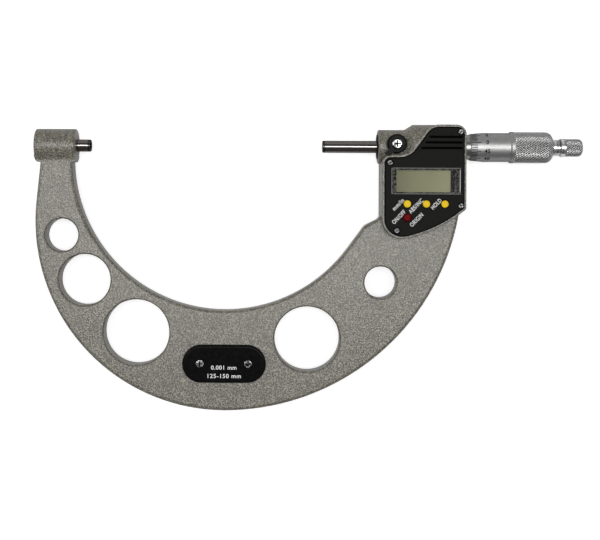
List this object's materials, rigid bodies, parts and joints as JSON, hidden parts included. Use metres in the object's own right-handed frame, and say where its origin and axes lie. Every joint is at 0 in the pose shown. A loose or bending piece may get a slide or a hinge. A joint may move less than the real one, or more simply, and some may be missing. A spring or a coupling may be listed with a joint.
{
  "type": "digital outside micrometer",
  "caption": "C-frame outside micrometer with a digital display, push buttons, graduated thimble, ratchet stop, spindle lock and insulating grip plate.",
  "frame": {"origin": "centre of the anvil's measuring face", "axes": "+X along the spindle from the anvil to the ratchet, +Y away from the bow, +Z out of the display"},
  "size_m": [0.295, 0.1542, 0.0263],
  "materials": {
    "frame_paint": "hammertone enamel on cast iron",
    "cover_black": "fine satin black",
    "spindle_steel": "ground hardened steel",
    "carbide": "lapped carbide",
    "satin_chrome": "satin chrome",
    "bright_chrome": "bright chrome",
    "bare_steel": "turned steel",
    "spring_steel": "drawn wire",
    "brass": "turned brass",
    "black_steel": "black finish",
    "seal_rubber": "moulded rubber",
    "button_yellow": "moulded yellow",
    "button_red": "moulded red",
    "window_clear": "clear moulded window",
    "display_glass": "blank reflective display",
    "bezel_grey": "grey moulding",
    "board_green": "solder mask",
    "chip_black": "moulded black",
    "insulator_black": "glossy moulded insulation",
    "cell_steel": "nickel plated"
  },
  "bodies": {
    "frame_body": {"frame": "frame_paint", "anvil": "spindle_steel", "anvil_tip": "carbide", "spindle_bush": "bare_steel", "spindle_seal": "seal_rubber", "lock_pad": "brass", "inner_sleeve": "bare_steel", "adjusting_nut": "bare_steel", "sleeve": "satin_chrome", "rotor_ring": "bare_steel", "encoder_stator": "board_green", "stator_holder": "chip_black", "circuit_board": "board_green", "tact_switches": "chip_black", "control_chip": "chip_black", "contact_strips": "seal_rubber", "lcd_panel": "display_glass", "lcd_bezel": "bezel_grey", "window_lens": "window_clear", "display_cover": "cover_black", "cover_screws": "bright_chrome", "battery": "cell_steel", "battery_contact_top": "spring_steel", "battery_contact_side": "spring_steel", "battery_cap": "cover_black", "battery_cap_seal": "seal_rubber", "grip_plate": "insulator_black", "plate_screws": "bright_chrome"},
    "rotor": {"encoder_rotor": "board_green", "rotor_key": "bare_steel"},
    "spindle_group": {"spindle": "spindle_steel", "spindle_tip": "carbide", "thimble": "satin_chrome", "ratchet_body": "bright_chrome"},
    "ratchet_group": {"ratchet_knob": "satin_chrome", "ratchet_clutch": "bare_steel", "ratchet_spring": "spring_steel"},
    "lock_group": {"lock_lever": "black_steel", "lock_screw": "bright_chrome", "lock_stud": "bare_steel"},
    "unit_key": {"button_unit": "button_yellow"},
    "mode_key": {"button_mode": "button_yellow"},
    "hold_key": {"button_hold": "button_yellow"},
    "power_key": {"button_power": "button_red"}
  },
  "joints": [
    {"name": "thimble_turn", "type": "hinge", "parent": "frame_body", "child": "rotor", "pos_m": [0.185, 0, 0], "axis": [1, 0, 0], "range_deg": [0, 18000]},
    {"name": "spindle_travel", "type": "slide", "parent": "rotor", "child": "spindle_group", "axis": [1, 0, 0], "range_m": [0, 0.025]},
    {"name": "ratchet_turn", "type": "hinge", "parent": "spindle_group", "child": "ratchet_group", "pos_m": [0.2596, 0, 0], "axis": [1, 0, 0], "continuous": true},
    {"name": "lock_turn", "type": "hinge", "parent": "frame_body", "child": "lock_group", "pos_m": [0.1643, 0.0012, 0.0105], "axis": [0, 0, 1], "range_deg": [-60, 0]},
    {"name": "unit_press", "type": "slide", "parent": "frame_body", "child": "unit_key", "axis": [0, 0, -1], "range_m": [0, 0.0005], "stiffness_N_per_m": 300},
    {"name": "mode_press", "type": "slide", "parent": "frame_body", "child": "mode_key", "axis": [0, 0, -1], "range_m": [0, 0.0005], "stiffness_N_per_m": 300},
    {"name": "hold_press", "type": "slide", "parent": "frame_body", "child": "hold_key", "axis": [0, 0, -1], "range_m": [0, 0.0005], "stiffness_N_per_m": 300},
    {"name": "power_press", "type": "slide", "parent": "frame_body", "child": "power_key", "axis": [0, 0, -1], "range_m": [0, 0.0005], "stiffness_N_per_m": 300}
  ],
  "couplings": [
    {"joint": "thimble_turn", "follows": "spindle_travel", "rad_per_m": 12566}
  ]
}
